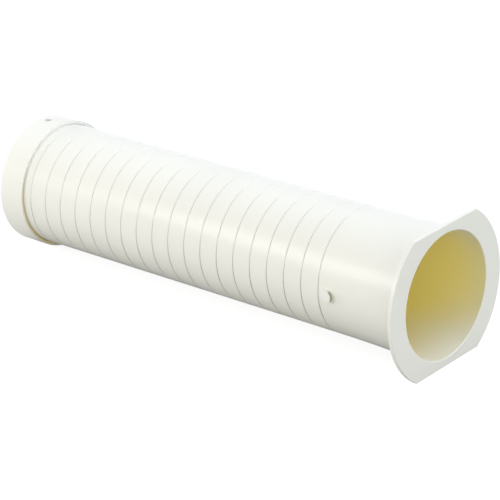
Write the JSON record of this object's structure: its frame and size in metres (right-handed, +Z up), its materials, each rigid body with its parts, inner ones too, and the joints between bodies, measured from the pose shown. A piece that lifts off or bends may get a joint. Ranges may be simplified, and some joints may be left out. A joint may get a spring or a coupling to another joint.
{
  "type": "flanged wall sleeve",
  "caption": "moulded plastic pipe that lines a hole through a wall, with a thin flange with two flats at one end, score lines for cutting it to length, and a separate ring on the far end",
  "frame": {"origin": "on the surface that the lower flat of the flange rests on, below the pipe's axis and midway between the two ends", "axes": "+X runs along the pipe's axis towards the flange, and +Z is up, at right angles to the flange's two flats; the nib points to -Y"},
  "size_m": [0.2486, 0.082, 0.068],
  "materials": {
    "sleeve_plastic": "satin",
    "ring_plastic": "satin"
  },
  "bodies": {
    "root": {"sleeve": "sleeve_plastic", "end_ring": "ring_plastic"}
  },
  "joints": []
}
